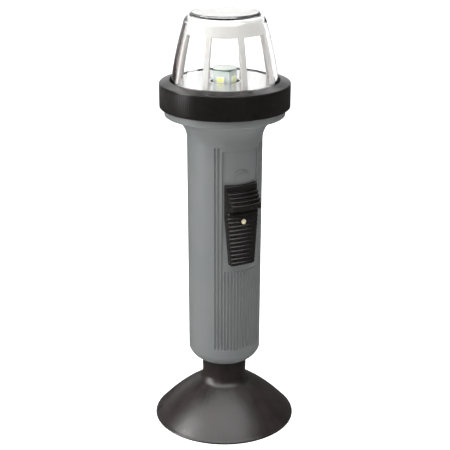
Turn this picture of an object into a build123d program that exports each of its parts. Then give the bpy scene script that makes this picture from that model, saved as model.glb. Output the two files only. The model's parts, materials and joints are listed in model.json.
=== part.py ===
from build123d import *
import math
import os

os.makedirs("parts", exist_ok=True)

# Portable battery navigation light on a suction cup. Millimetres, +Z up.
# The origin is the centre of the cup's rim, on the surface it stands on.
# The slide switch faces -Y. Outlines of turned pieces are given as (radius, height).

# ---------------------------------------------------------------- driving dimensions
CUP_R = 38.1  # 3 inch suction cup
CUP_HOLLOW_TOP_Z = 13.5
NECK_R = 11.75
NECK_TOP_R = 12.0
NECK_TOP_Z = 35.0

STUD_R = 3.0
STUD_HEAD_R = 7.0
STUD_HEAD_Z = 24.0
STUD_HEAD_H = 1.5
STUD_TOP_Z = 43.6
MOULD_GAP = 0.1

BARREL_LOW_R = 19.2
BARREL_HIGH_R = 19.55
BARREL_SIDE_Z = 41.2
FLARE_Z = 158.6
FLARE_R = 12.7
FLANGE_R = 31.0
FLANGE_LOW_Z = 171.5
FLANGE_TOP_Z = 174.9
FLOOR_TOP_Z = 37.3
LEDGE_Z = 44.5
BORE_R = 17.5
COLLAR_BORE_R = 26.5
COLLAR_ROOT_R = 28.4
COLLAR_TOP_Z = 184.7

THREAD_PITCH = 3.0
THREAD_CREST_R = 29.55  # outside thread on the collar
RING_ROOT_R = 29.95  # inside wall of the ring
RING_CREST_R = 28.8

RING_R = 33.5
RING_BOTTOM_Z = 175.2
RING_EDGE_Z = 186.4  # top of the ribbed band
RING_BEAD_Z = 187.8  # top of the plain bead above it
RING_TOP_Z = 189.3
RING_MOUTH_R = 28.1
LIP_Z = 187.1  # underside of the ring's inward lip
RING_RIBS = 180

LENS_BASE_R = 27.35
LENS_SHOULDER_R = 21.0
LENS_BASE_Z = 188.5
LENS_SHOULDER_Z = 218.0
LENS_TOP_Z = 223.4
LENS_DISC_R = 17.3
LENS_WALL = 1.6
LENS_FLANGE_R = 29.6
LENS_FLANGE_Z = 185.0

CAGE_RIBS = 8
CAGE_RIB_W = 2.9
CAGE_RIB_TURN = -4.7  # degrees from the switch's direction
CAGE_BAND_Z = 213.3

FLUTES = 17
FLUTE_PITCH = 5.15  # degrees
FLUTE_CUT_R = 0.55
FLUTE_DEPTH = 0.45
FLUTE_LOW_Z = 46.0
FLUTE_HIGH_Z = 158.3
PANEL_R = 18.8
PANEL_LOW_Z = 91.2
PANEL_HIGH_Z = 156.3
PANEL_FLUTES = 6  # the panel reaches this many flutes each side of the middle

SLIDE_TRAVEL = 5.0
SLIDER_LOW_Z = 95.4
SLIDER_TOP_Z = 138.7
SLIDER_GAP = 0.3
TONGUE_W = 2.6
TONGUE_LOW_Z = 116.6
TONGUE_TOP_Z = 122.0
RIVET_Z = 119.3
RIVET_HEAD_R = 1.35
RIVET_HEAD_OUT = 22.0
RIVET_SEAT_OUT = 21.1
FACE_AXIS = 16.0  # the slider's faces are turned about a line this far behind the barrel's axis

SHUTTLE_IN = 17.25
SHUTTLE_OUT = 17.7
SHUTTLE_POCKET = 17.95
SHUTTLE_LOW_Z = 112.0
SHUTTLE_TOP_Z = 125.5
STRIP_IN = 16.88
STRIP_OUT = 17.14
PLATE_H = 0.5

CELL_R = 16.6  # two D cells in line
CELL_CAN_H = 59.6
CELL_H = 61.5
CELL_BOTTOM_Z = 52.0
CELLS_TOP_Z = CELL_BOTTOM_Z + 2 * CELL_H

TOWER_SIDE = 9.1
TOWER_TURN = 36.7  # degrees from the switch to the nearest face
TOWER_TOP_Z = 194.1
BOARD_TOP_Z = 180.0
BOARD_WALL = 0.9
BOARD_H = 1.4
BOARD_R = 22.0
SCREW_X = 15.0
HOLDER_LOW_Z = 177.0
HOLDER_FLOOR = 1.6
RING_CONTACT_Z = 176.3
DISH_HOLE_R = 7.4
DISH_TOP_Z = 188.45
LED_W = 4.2
LED_H = 3.0
LED_PROUD = 0.7
LED_Z = 189.5
LED_WINDOW_W = 3.6
LED_WINDOW_H = 2.3
TOP_BOARD_SIDE = 9.9
TOP_BOARD_H = 0.8
LAMP_CAP_R = 6.25
LAMP_CAP_H = 0.5


# ---------------------------------------------------------------- helpers
def turned(*curves):
    """A solid of revolution about Z from a closed outline of (radius, height) curves."""
    return revolve(make_face(Plane.XZ * (Curve() + list(curves))), Axis.Z)


def turned_polygon(*points):
    """A solid of revolution about Z from the corners of its outline."""
    return turned(Polyline(*points, close=True))


def disc(radius, bottom, top, x=0.0, y=0.0):
    """An upright cylinder between two heights."""
    return Pos(x, y, (bottom + top) / 2) * Cylinder(radius, top - bottom)


def ring(outer, inner, bottom, top):
    """An upright tube between two heights."""
    return disc(outer, bottom, top) - disc(inner, bottom - 1, top + 1)


def block(x0, x1, y0, y1, z0, z1):
    """A box from its lowest and highest corners."""
    return Pos((x0 + x1) / 2, (y0 + y1) / 2, (z0 + z1) / 2) * Box(x1 - x0, y1 - y0, z1 - z0)


def side_strip(points, width):
    """A bent strip at the switch side from its (distance out, height) outline."""
    outline = Polyline(*[(0, -out, z) for out, z in points], close=True)
    return extrude(make_face(outline), amount=width / 2, dir=(1, 0, 0), both=True)


def thread(inner, outer, bottom, height, base_is_inner):
    """A right-hand trapezoid thread ridge that overlaps the wall it grows from."""
    root_half = 0.72
    crest_half = 0.42
    buried = 0.25
    if base_is_inner:
        points = [
            (inner - buried, -root_half),
            (outer, -crest_half),
            (outer, crest_half),
            (inner - buried, root_half),
        ]
    else:
        points = [
            (outer + buried, -root_half),
            (outer + buried, root_half),
            (inner, crest_half),
            (inner, -crest_half),
        ]
    path = Pos(0, 0, bottom) * Helix(pitch=THREAD_PITCH, height=height, radius=inner)
    profile = Pos(0, 0, bottom) * (Plane.XZ * make_face(Polyline(*points, close=True)))
    return sweep(profile, path=path, is_frenet=True)


def save(shape, node):
    """Write one node's STEP file."""
    export_step(shape, "parts/" + node + ".step")


# ---------------------------------------------------------------- suction cup and its stud
def suction_cup():
    foot_z = 25.9
    shoulder = (14.5, 20.9)
    edge = (37.3, 1.35)
    cup = turned(
        Line((0, NECK_TOP_Z), (NECK_TOP_R, NECK_TOP_Z)),
        Line((NECK_TOP_R, NECK_TOP_Z), (NECK_R, foot_z)),
        ThreePointArc((NECK_R, foot_z), (12.49, 23.04), shoulder),
        ThreePointArc(shoulder, (27.2, 11.5), edge),
        ThreePointArc(edge, (37.9, 0.85), (CUP_R, 0.4)),
        Line((CUP_R, 0.4), (37.6, 0)),
        Line((37.6, 0), (36.4, 0)),
        ThreePointArc((36.4, 0), (27.0, 8.2), (11.0, CUP_HOLLOW_TOP_Z - 0.3)),
        Line((11.0, CUP_HOLLOW_TOP_Z - 0.3), (0, CUP_HOLLOW_TOP_Z)),
        Line((0, CUP_HOLLOW_TOP_Z), (0, NECK_TOP_Z)),
    )
    head_low = STUD_HEAD_Z - MOULD_GAP
    head_high = STUD_HEAD_Z + STUD_HEAD_H + MOULD_GAP
    cup -= disc(STUD_HEAD_R + MOULD_GAP, head_low, head_high)
    cup -= disc(STUD_R + MOULD_GAP, head_high - 0.5, NECK_TOP_Z + 1)
    return cup


def cup_stud():
    stud = disc(STUD_HEAD_R, STUD_HEAD_Z, STUD_HEAD_Z + STUD_HEAD_H)
    stud += disc(STUD_R, STUD_HEAD_Z, STUD_TOP_Z)
    return chamfer(stud.edges().group_by(Axis.Z)[-1], 0.6)


def stud_washer():
    return ring(7.5, STUD_R + 0.2, FLOOR_TOP_Z, FLOOR_TOP_Z + 1.2)


def stud_nut():
    low = FLOOR_TOP_Z + 1.2
    height = 4.2
    nut = Pos(0, 0, low) * extrude(RegularPolygon(5.0, 6, major_radius=False), height)
    cone = Pos(0, 0, low + height / 2) * Cylinder(5.5, height)
    nut &= chamfer(cone.edges(), 0.5)
    return nut - disc(STUD_R + 0.02, low - 1, low + height + 1)


# ---------------------------------------------------------------- barrel
def barrel_blank():
    flare_x = BARREL_HIGH_R + FLARE_R
    wall = 2.2
    bore_arc_r = FLARE_R + wall
    bore_arc_z = FLARE_Z + math.sqrt(bore_arc_r**2 - (flare_x - BORE_R) ** 2)
    collar_arc_z = FLARE_Z + math.sqrt(bore_arc_r**2 - (flare_x - COLLAR_BORE_R) ** 2)
    flare_end_r = 27.5
    flare_end_z = FLARE_Z + math.sqrt(FLARE_R**2 - (flare_x - flare_end_r) ** 2)
    half = math.sqrt(0.5)
    seal_z = COLLAR_TOP_Z - 1.5
    seal_r = 27.2
    return turned(
        Line((STUD_R + 0.2, NECK_TOP_Z), (12.2, NECK_TOP_Z)),
        ThreePointArc((12.2, NECK_TOP_Z), (16.5, 37.2), (BARREL_LOW_R, BARREL_SIDE_Z)),
        Line((BARREL_LOW_R, BARREL_SIDE_Z), (BARREL_HIGH_R, FLARE_Z)),
        ThreePointArc(
            (BARREL_HIGH_R, FLARE_Z),
            (flare_x - FLARE_R * half, FLARE_Z + FLARE_R * half),
            (flare_end_r, flare_end_z),
        ),
        Line((flare_end_r, flare_end_z), (30.4, FLANGE_LOW_Z - 0.5)),
        ThreePointArc(
            (30.4, FLANGE_LOW_Z - 0.5),
            (30.85, FLANGE_LOW_Z - 0.35),
            (FLANGE_R, FLANGE_LOW_Z),
        ),
        Line((FLANGE_R, FLANGE_LOW_Z), (FLANGE_R, FLANGE_TOP_Z)),
        Line((FLANGE_R, FLANGE_TOP_Z), (COLLAR_ROOT_R, FLANGE_TOP_Z)),
        Line((COLLAR_ROOT_R, FLANGE_TOP_Z), (COLLAR_ROOT_R, seal_z)),
        Line((COLLAR_ROOT_R, seal_z), (seal_r, seal_z)),
        Line((seal_r, seal_z), (seal_r, COLLAR_TOP_Z)),
        Line((seal_r, COLLAR_TOP_Z), (COLLAR_BORE_R, COLLAR_TOP_Z)),
        Line((COLLAR_BORE_R, COLLAR_TOP_Z), (COLLAR_BORE_R, collar_arc_z)),
        ThreePointArc(
            (COLLAR_BORE_R, collar_arc_z),
            (flare_x - bore_arc_r * half, FLARE_Z + bore_arc_r * half),
            (BORE_R, bore_arc_z),
        ),
        Line((BORE_R, bore_arc_z), (BORE_R, LEDGE_Z)),
        Line((BORE_R, LEDGE_Z), (15.0, LEDGE_Z)),
        Line((15.0, LEDGE_Z), (15.0, FLOOR_TOP_Z)),
        Line((15.0, FLOOR_TOP_Z), (STUD_R + 0.2, FLOOR_TOP_Z)),
        Line((STUD_R + 0.2, FLOOR_TOP_Z), (STUD_R + 0.2, NECK_TOP_Z)),
    )


def flute_cutter(index, low, high):
    """A round-bottomed groove that leans with the barrel's slight taper."""
    lean = math.degrees(math.atan2(BARREL_HIGH_R - BARREL_LOW_R, FLARE_Z - BARREL_SIDE_Z))
    rise = ((low + high) / 2 - BARREL_SIDE_Z) / (FLARE_Z - BARREL_SIDE_Z)
    surface = BARREL_LOW_R + rise * (BARREL_HIGH_R - BARREL_LOW_R)
    out = surface - FLUTE_DEPTH + FLUTE_CUT_R
    cutter = Rot(lean, 0, 0) * Cylinder(FLUTE_CUT_R, high - low)
    return Rot(0, 0, index * FLUTE_PITCH) * (Pos(0, -out, (low + high) / 2) * cutter)


def panel_cutter():
    """The shallow recess that the slide switch runs in."""
    half_angle = PANEL_FLUTES * FLUTE_PITCH
    height = PANEL_HIGH_Z - PANEL_LOW_Z
    shell = ring(BARREL_HIGH_R + 2, PANEL_R, PANEL_LOW_Z, PANEL_HIGH_Z)
    reach = 40
    x = reach * math.sin(math.radians(half_angle))
    y = -reach * math.cos(math.radians(half_angle))
    wedge = extrude(make_face(Polyline((0, 0), (-x, y), (x, y), close=True)), height)
    return shell & (Pos(0, 0, PANEL_LOW_Z) * wedge)


def crescent_mark():
    """A small raised crescent above the switch, where the slide stops."""
    middle_z = 140.1
    outer = Pos(0, middle_z) * Circle(5.8)
    inner = Pos(0, middle_z - 0.7) * Circle(5.9)
    window = Pos(0, middle_z + 7.05) * Rectangle(7.8, 6)
    flat = (outer - inner) & window
    bar = Pos(0, -18.2, 0) * extrude(Plane.XZ * flat, 3)
    return bar & disc(PANEL_R + 0.25, 130, 160)


def barrel():
    body = barrel_blank()
    half_count = FLUTES // 2
    for index in range(-half_count, half_count + 1):
        beside_panel = abs(index) > PANEL_FLUTES
        high = FLUTE_HIGH_Z if beside_panel else PANEL_LOW_Z + 1
        body -= flute_cutter(index, FLUTE_LOW_Z, high)
    body -= panel_cutter()
    body -= block(-1.6, 1.6, -20, -16, TONGUE_LOW_Z - 0.4, TONGUE_TOP_Z + SLIDE_TRAVEL + 0.4)
    body -= block(-3.4, 3.4, -SHUTTLE_POCKET, -16, SHUTTLE_LOW_Z - 1, SHUTTLE_TOP_Z + SLIDE_TRAVEL + 1)
    body += crescent_mark()
    body += thread(COLLAR_ROOT_R, THREAD_CREST_R, 176.2, 6.0, True)
    return body


# ---------------------------------------------------------------- switch
def slider_outline():
    """The slider's middle section as (distance out, height): ribbed tail, thumb wedge, steps."""
    tail_ridges = 13
    tail_out = 22.1
    tail_high_z = 124.4
    ridge_depth = 0.6
    pitch = (tail_high_z - SLIDER_LOW_Z) / tail_ridges
    points = [(17.0, SLIDER_LOW_Z)]
    for index in range(tail_ridges):
        z = SLIDER_LOW_Z + index * pitch
        points.append((tail_out - ridge_depth, z + 0.05 * pitch))
        points.append((tail_out - 0.03, z + 0.3 * pitch))
        points.append((tail_out, z + 0.78 * pitch))
        points.append((tail_out - ridge_depth, z + 0.95 * pitch))
    points.append((tail_out, tail_high_z + 0.4))
    points.append((25.9, 126.7))
    points.append((26.3, 127.2))
    points.append((26.2, 129.4))
    steps = 4
    step_rise = 1.75
    step_in = 1.35
    for index in range(steps):
        z = 129.4 + index * step_rise
        out = 26.2 - index * step_in
        points.append((out - 0.2, z + 0.35))
        points.append((out - step_in - 0.25, z + 0.75))
        points.append((out - step_in, z + step_rise - 0.1))
    points.append((20.2, SLIDER_TOP_Z - 0.5))
    points.append((19.7, SLIDER_TOP_Z))
    points.append((17.0, SLIDER_TOP_Z))
    return points


def slider_sides():
    """The slider's tapering front outline, with sides that lean in towards the thumb face."""
    wide = 9.0
    narrow = 7.0
    straight_z = 121.0
    base = Plane.XZ.offset(17.0) * make_face(
        Polyline(
            (-narrow, SLIDER_LOW_Z),
            (narrow, SLIDER_LOW_Z),
            (wide, straight_z),
            (wide, SLIDER_TOP_Z),
            (-wide, SLIDER_TOP_Z),
            (-wide, straight_z),
            close=True,
        )
    )
    return extrude(base, 11.0, taper=6.0)


def switch_slider():
    flat = Polyline(*[(out + FACE_AXIS, z) for out, z in slider_outline()], close=True)
    sweep_angle = 36
    turned_face = revolve(Plane.XZ * make_face(flat), Axis.Z, sweep_angle)
    body = Pos(0, FACE_AXIS, 0) * (Rot(0, 0, -90 - sweep_angle / 2) * turned_face)
    body &= slider_sides()
    body -= disc(PANEL_R + SLIDER_GAP, SLIDER_LOW_Z - 1, SLIDER_TOP_Z + 1)
    body += block(-TONGUE_W / 2, TONGUE_W / 2, -19.8, -SHUTTLE_OUT, TONGUE_LOW_Z, TONGUE_TOP_Z)
    front = Pos(0, -30, RIVET_Z) * Rot(-90, 0, 0)
    body -= front * Pos(0, 0, 6) * Cylinder(0.85, 14)
    recess = 30 - RIVET_SEAT_OUT
    return body - front * Pos(0, 0, recess / 2) * Cylinder(1.9, recess)


def switch_rivet():
    """A round-headed rivet through the slider's tongue into the shuttle."""
    head = disc(RIVET_HEAD_R, 0, RIVET_HEAD_OUT - RIVET_SEAT_OUT)
    head = fillet(head.edges().group_by(Axis.Z)[-1], 0.55)
    shank = disc(0.8, SHUTTLE_IN - RIVET_SEAT_OUT, 0.1)
    return Pos(0, -RIVET_SEAT_OUT, RIVET_Z) * Rot(90, 0, 0) * (head + shank)


def switch_shuttle():
    plate = block(-3.0, 3.0, -SHUTTLE_OUT, -SHUTTLE_IN, SHUTTLE_LOW_Z, SHUTTLE_TOP_Z)
    plate = fillet(plate.edges().filter_by(Axis.Y), 0.8)
    return plate - Pos(0, -17.5, RIVET_Z) * Rot(90, 0, 0) * Cylinder(0.85, 2)


# ---------------------------------------------------------------- battery contacts and cells
def lower_contact():
    plate = disc(16.9, LEDGE_Z, LEDGE_Z + PLATE_H)
    return plate - disc(4.0, LEDGE_Z - 1, LEDGE_Z + 2)


def battery_spring():
    """A compression spring from the contact plate to the lower cell."""
    wire_r = 0.6
    low = LEDGE_Z + PLATE_H + wire_r + 0.02
    high = CELL_BOTTOM_Z - wire_r - 0.02
    turns = 3
    coil_r = 9.0
    path = Pos(0, 0, low) * Helix((high - low) / turns, high - low, coil_r)
    profile = Plane(origin=path @ 0, z_dir=path % 0) * Circle(wire_r)
    return sweep(profile, path=path, is_frenet=True)


def lower_strip():
    low = LEDGE_Z + PLATE_H
    points = [
        (STRIP_IN - 3, low),
        (STRIP_OUT, low),
        (STRIP_OUT, SHUTTLE_LOW_Z + 6.0),
        (STRIP_IN, SHUTTLE_LOW_Z + 6.0),
        (STRIP_IN, low + 0.3),
        (STRIP_IN - 3, low + 0.3),
    ]
    return side_strip(points, 5.0)


def upper_strip():
    low = SHUTTLE_TOP_Z + 1.5
    bend = 163.0
    thick = STRIP_OUT - STRIP_IN
    points = [
        (STRIP_IN, low),
        (STRIP_OUT, low),
        (STRIP_OUT, bend),
        (22.4, 172.5),
        (22.4, RING_CONTACT_Z - 0.05),
        (22.4 - thick, RING_CONTACT_Z - 0.05),
        (22.4 - thick, 172.7),
        (STRIP_IN, bend + 0.1),
    ]
    return side_strip(points, 5.0)


def cell_can(bottom):
    round_r = 0.9
    can = disc(CELL_R, bottom, bottom + CELL_CAN_H)
    can = fillet(can.edges().filter_by(GeomType.CIRCLE), round_r)
    return can - disc(10.4, bottom + CELL_CAN_H - 1.2, bottom + CELL_CAN_H + 1)


def cell_seal(bottom):
    top = bottom + CELL_CAN_H
    return ring(10.3, 7.0, top - 1.2, top - 0.3)


def cell_cap(bottom):
    top = bottom + CELL_CAN_H
    cap = disc(6.9, top - 1.2, top - 0.1) + disc(4.75, top - 0.2, bottom + CELL_H)
    return fillet(cap.edges().group_by(Axis.Z)[-1], 0.5)


# ---------------------------------------------------------------- head: ring, lens, cage, dish
def bezel_ring():
    core = turned_polygon(
        (32.9, RING_BOTTOM_Z),
        (33.15, RING_BOTTOM_Z + 0.25),
        (33.15, RING_EDGE_Z + 0.1),
        (RING_R - 0.05, RING_EDGE_Z + 0.4),
        (RING_R - 0.05, RING_BEAD_Z - 0.4),
        (RING_R - 0.45, RING_BEAD_Z),
        (RING_MOUTH_R + 0.3, RING_TOP_Z),
        (RING_MOUTH_R, RING_TOP_Z - 0.3),
        (RING_MOUTH_R, LIP_Z),
        (RING_ROOT_R, LIP_Z),
        (RING_ROOT_R, RING_BOTTOM_Z + 0.5),
        (RING_ROOT_R + 0.5, RING_BOTTOM_Z),
    )
    corners = []
    for index in range(RING_RIBS):
        for radius, part in ((33.2, 0.0), (RING_R, 0.28), (RING_R, 0.62), (33.2, 0.9)):
            angle = 2 * math.pi * (index + part) / RING_RIBS
            corners.append((radius * math.cos(angle), radius * math.sin(angle)))
    ribs_low = RING_BOTTOM_Z + 0.3
    ribs = Pos(0, 0, ribs_low) * extrude(
        make_face(Polyline(*corners, close=True)), RING_EDGE_Z - ribs_low
    )
    body = core + (ribs - disc(32.0, ribs_low - 1, RING_EDGE_Z + 1))
    body -= block(-0.6, 0.6, -RING_R - 1, -RING_R + 0.9, RING_BOTTOM_Z - 1, RING_BOTTOM_Z + 2.2)
    return body + thread(RING_CREST_R, RING_ROOT_R, 177.7, 4.5, False)


def lens_side(inset):
    """The lens's long convex side as one arc, moved inwards by inset."""
    bulge = 0.6
    middle = ((LENS_BASE_R + LENS_SHOULDER_R) / 2 + bulge, (LENS_BASE_Z + LENS_SHOULDER_Z) / 2)
    return ThreePointArc(
        (LENS_BASE_R - inset, LENS_BASE_Z),
        (middle[0] - inset, middle[1]),
        (LENS_SHOULDER_R - inset, LENS_SHOULDER_Z),
    )


def lens():
    inner_base = LENS_BASE_R - LENS_WALL
    inner_shoulder = LENS_SHOULDER_R - LENS_WALL
    roof_z = LENS_TOP_Z - 2.2
    disc_z = 222.3
    flange_top = LENS_FLANGE_Z + 1.8
    return turned(
        Line((inner_base, LENS_FLANGE_Z), (LENS_FLANGE_R, LENS_FLANGE_Z)),
        Line((LENS_FLANGE_R, LENS_FLANGE_Z), (LENS_FLANGE_R, flange_top)),
        Line((LENS_FLANGE_R, flange_top), (LENS_BASE_R + 0.5, flange_top)),
        ThreePointArc(
            (LENS_BASE_R + 0.5, flange_top),
            (LENS_BASE_R + 0.15, flange_top + 0.15),
            (LENS_BASE_R, flange_top + 0.5),
        ),
        Line((LENS_BASE_R, flange_top + 0.5), (LENS_BASE_R, LENS_BASE_Z)),
        lens_side(0),
        ThreePointArc((LENS_SHOULDER_R, LENS_SHOULDER_Z), (19.9, 220.5), (17.8, disc_z)),
        Line((17.8, disc_z), (LENS_DISC_R + 0.2, disc_z)),
        Line((LENS_DISC_R + 0.2, disc_z), (LENS_DISC_R, LENS_TOP_Z - 0.4)),
        ThreePointArc(
            (LENS_DISC_R, LENS_TOP_Z - 0.4),
            (LENS_DISC_R - 0.12, LENS_TOP_Z - 0.12),
            (LENS_DISC_R - 0.4, LENS_TOP_Z),
        ),
        Line((LENS_DISC_R - 0.4, LENS_TOP_Z), (0, LENS_TOP_Z)),
        Line((0, LENS_TOP_Z), (0, roof_z)),
        Line((0, roof_z), (inner_shoulder - 2.4, roof_z)),
        ThreePointArc(
            (inner_shoulder - 2.4, roof_z),
            (inner_shoulder - 0.7, 220.0),
            (inner_shoulder, LENS_SHOULDER_Z),
        ),
        lens_side(LENS_WALL),
        Line((inner_base, LENS_BASE_Z), (inner_base, LENS_FLANGE_Z)),
    )


def lens_cage():
    """A white cap with eight ribs that stand on the dish's rim, close inside the lens."""
    gap = 0.3
    wall = 1.3
    outer = LENS_WALL + gap
    inner = outer + wall
    low = 188.75
    roof = LENS_TOP_Z - 2.5
    shell = turned(
        Line((LENS_BASE_R - outer, LENS_BASE_Z), (LENS_BASE_R - inner, LENS_BASE_Z)),
        lens_side(inner),
        Line((LENS_SHOULDER_R - inner, LENS_SHOULDER_Z), (15.5, roof - wall)),
        Line((15.5, roof - wall), (0, roof - wall)),
        Line((0, roof - wall), (0, roof)),
        Line((0, roof), (16.2, roof)),
        ThreePointArc((16.2, roof), (18.2, 219.85), (LENS_SHOULDER_R - outer, LENS_SHOULDER_Z)),
        lens_side(outer),
    )
    shell -= disc(40, 180, low)
    windows = ring(40, 10, low - 1, CAGE_BAND_Z)
    for index in range(CAGE_RIBS):
        bar = block(-CAGE_RIB_W / 2, CAGE_RIB_W / 2, -41, -9, low - 2, CAGE_BAND_Z + 1)
        windows -= Rot(0, 0, CAGE_RIB_TURN + index * 360 / CAGE_RIBS) * bar
    return shell - windows


def reflector_dish():
    return turned(
        Line((25.4, 185.15), (25.4, 188.2)),
        ThreePointArc((25.4, 188.2), (25.1, 188.65), (24.6, 188.5)),
        ThreePointArc((24.6, 188.5), (17.0, 188.2), (9.0, DISH_TOP_Z)),
        Line((9.0, DISH_TOP_Z), (DISH_HOLE_R, DISH_TOP_Z)),
        Line((DISH_HOLE_R, DISH_TOP_Z), (DISH_HOLE_R, 187.4)),
        Line((DISH_HOLE_R, 187.4), (23.8, 187.4)),
        Line((23.8, 187.4), (23.8, 185.15)),
        Line((23.8, 185.15), (25.4, 185.15)),
    )


def head_seal():
    return Pos(0, 0, COLLAR_TOP_Z - 0.75) * Torus(27.95, 0.7)


# ---------------------------------------------------------------- lamp and driver
def lamp_holder():
    cup = turned_polygon(
        (0, HOLDER_LOW_Z),
        (25.9, HOLDER_LOW_Z),
        (25.9, 185.0),
        (24.0, 185.0),
        (24.0, HOLDER_LOW_Z + HOLDER_FLOOR),
        (0, HOLDER_LOW_Z + HOLDER_FLOOR),
    )
    cup -= disc(2.1, 170, 190)
    for x in (-SCREW_X, SCREW_X):
        cup -= disc(1.3, 170, 190, x)
    return cup


def driver_board():
    board = disc(BOARD_R, BOARD_TOP_Z - BOARD_H, BOARD_TOP_Z)
    board -= disc(2.1, 170, 190)
    for x in (-SCREW_X, SCREW_X):
        board -= disc(1.3, 170, 190, x)
    return board


def board_screws():
    """Two pan-head screws that hold the board to the holder."""
    screws = []
    for x in (-SCREW_X, SCREW_X):
        head = disc(2.3, BOARD_TOP_Z, BOARD_TOP_Z + 1.5, x)
        head = fillet(head.edges().group_by(Axis.Z)[-1], 0.5)
        head -= Pos(x, 0, BOARD_TOP_Z + 1.5) * Box(3.4, 0.6, 1.2)
        screws.append(head + disc(1.2, HOLDER_LOW_Z + 0.2, BOARD_TOP_Z, x))
    return Compound(children=screws)


def centre_contact():
    """The brass button that meets the upper cell's cap."""
    button = disc(4.0, CELLS_TOP_Z + 0.05, HOLDER_LOW_Z)
    button = fillet(button.edges().group_by(Axis.Z)[0], 0.8)
    return button + disc(2.0, HOLDER_LOW_Z - 0.1, BOARD_TOP_Z + 0.3)


def ring_contact():
    return ring(24.0, 20.5, RING_CONTACT_Z, HOLDER_LOW_Z)


def driver_coil():
    core = disc(3.6, BOARD_TOP_Z, BOARD_TOP_Z + 0.8, -9, 9) + disc(2.0, BOARD_TOP_Z, BOARD_TOP_Z + 3.6, -9, 9)
    return core + disc(3.6, BOARD_TOP_Z + 2.8, BOARD_TOP_Z + 3.6, -9, 9)


def coil_winding():
    tube = disc(3.2, BOARD_TOP_Z + 0.85, BOARD_TOP_Z + 2.75, -9, 9)
    return tube - disc(2.05, BOARD_TOP_Z, BOARD_TOP_Z + 4, -9, 9)


def driver_chip():
    body = block(6.5, 11.5, 7.0, 11.0, BOARD_TOP_Z + 0.15, BOARD_TOP_Z + 1.6)
    body = chamfer(body.edges().group_by(Axis.Z)[-1], 0.25)
    for index in range(4):
        x = 7.1 + index * 1.27
        for y0, y1 in ((6.1, 7.0), (11.0, 11.9)):
            body += block(x - 0.2, x + 0.2, y0, y1, BOARD_TOP_Z, BOARD_TOP_Z + 0.8)
    return body


def driver_capacitors():
    cans = []
    for x, y in ((-9, -10), (10, -10)):
        can = disc(2.5, BOARD_TOP_Z, BOARD_TOP_Z + 5.0, x, y)
        cans.append(fillet(can.edges().group_by(Axis.Z)[-1], 0.4))
    return Compound(children=cans)


def lamp_post():
    half = TOWER_SIDE / 2 - BOARD_WALL
    low = BOARD_TOP_Z + 0.3
    return Rot(0, 0, TOWER_TURN) * block(-half, half, -half, half, low, TOWER_TOP_Z)


def on_tower_faces(shape):
    """Four copies of a shape that is drawn on the tower's -Y face."""
    return Compound(children=[Rot(0, 0, TOWER_TURN + 90 * turn) * shape for turn in range(4)])


def led_boards():
    half = TOWER_SIDE / 2
    side = half - 0.05
    face = block(-side, side - BOARD_WALL, -half, -half + BOARD_WALL, 181.0, TOWER_TOP_Z)
    return on_tower_faces(face)


def led_window(depth):
    """The lit window of an LED, sunk from its front face."""
    half = TOWER_SIDE / 2
    window = Box(LED_WINDOW_W, depth, LED_WINDOW_H)
    window = fillet(window.edges().filter_by(Axis.Y), 0.6)
    return Pos(0, -half - LED_PROUD, LED_Z) * window


def led_bodies():
    half = TOWER_SIDE / 2
    low, high = LED_Z - LED_H / 2, LED_Z + LED_H / 2
    body = block(-LED_W / 2, LED_W / 2, -half - LED_PROUD, -half, low, high)
    return on_tower_faces(body - led_window(0.5))


def led_phosphors():
    return on_tower_faces(Pos(0, 0.14, 0) * led_window(0.2))


def top_board():
    """The square board that closes the tower's top."""
    half = TOP_BOARD_SIDE / 2
    board = block(-half, half, -half, half, TOWER_TOP_Z, TOWER_TOP_Z + TOP_BOARD_H)
    return Rot(0, 0, TOWER_TURN) * fillet(board.edges().filter_by(Axis.Z), 0.3)


def lamp_cap():
    low = TOWER_TOP_Z + TOP_BOARD_H
    cap = disc(LAMP_CAP_R, low, low + LAMP_CAP_H)
    return fillet(cap.edges().group_by(Axis.Z)[-1], 0.2)


# ---------------------------------------------------------------- all the nodes
NODES = {
    "suction_cup": suction_cup,
    "cup_stud": cup_stud,
    "stud_washer": stud_washer,
    "stud_nut": stud_nut,
    "barrel": barrel,
    "switch_slider": switch_slider,
    "switch_rivet": switch_rivet,
    "switch_shuttle": switch_shuttle,
    "lower_contact": lower_contact,
    "battery_spring": battery_spring,
    "lower_strip": lower_strip,
    "upper_strip": upper_strip,
    "bezel_ring": bezel_ring,
    "lens": lens,
    "lens_cage": lens_cage,
    "reflector_dish": reflector_dish,
    "head_seal": head_seal,
    "lamp_holder": lamp_holder,
    "driver_board": driver_board,
    "board_screws": board_screws,
    "centre_contact": centre_contact,
    "ring_contact": ring_contact,
    "driver_coil": driver_coil,
    "coil_winding": coil_winding,
    "driver_chip": driver_chip,
    "driver_capacitors": driver_capacitors,
    "lamp_post": lamp_post,
    "led_boards": led_boards,
    "led_bodies": led_bodies,
    "led_phosphors": led_phosphors,
    "top_board": top_board,
    "lamp_cap": lamp_cap,
}

for node, make in NODES.items():
    save(make(), node)

for place, bottom in (("lower", CELL_BOTTOM_Z), ("upper", CELL_BOTTOM_Z + CELL_H)):
    save(cell_can(bottom), place + "_cell_can")
    save(cell_seal(bottom), place + "_cell_seal")
    save(cell_cap(bottom), place + "_cell_cap")
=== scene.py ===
import bisect
import json
import math

import bmesh
import bpy
from mathutils import Euler, Matrix, Vector


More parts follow.
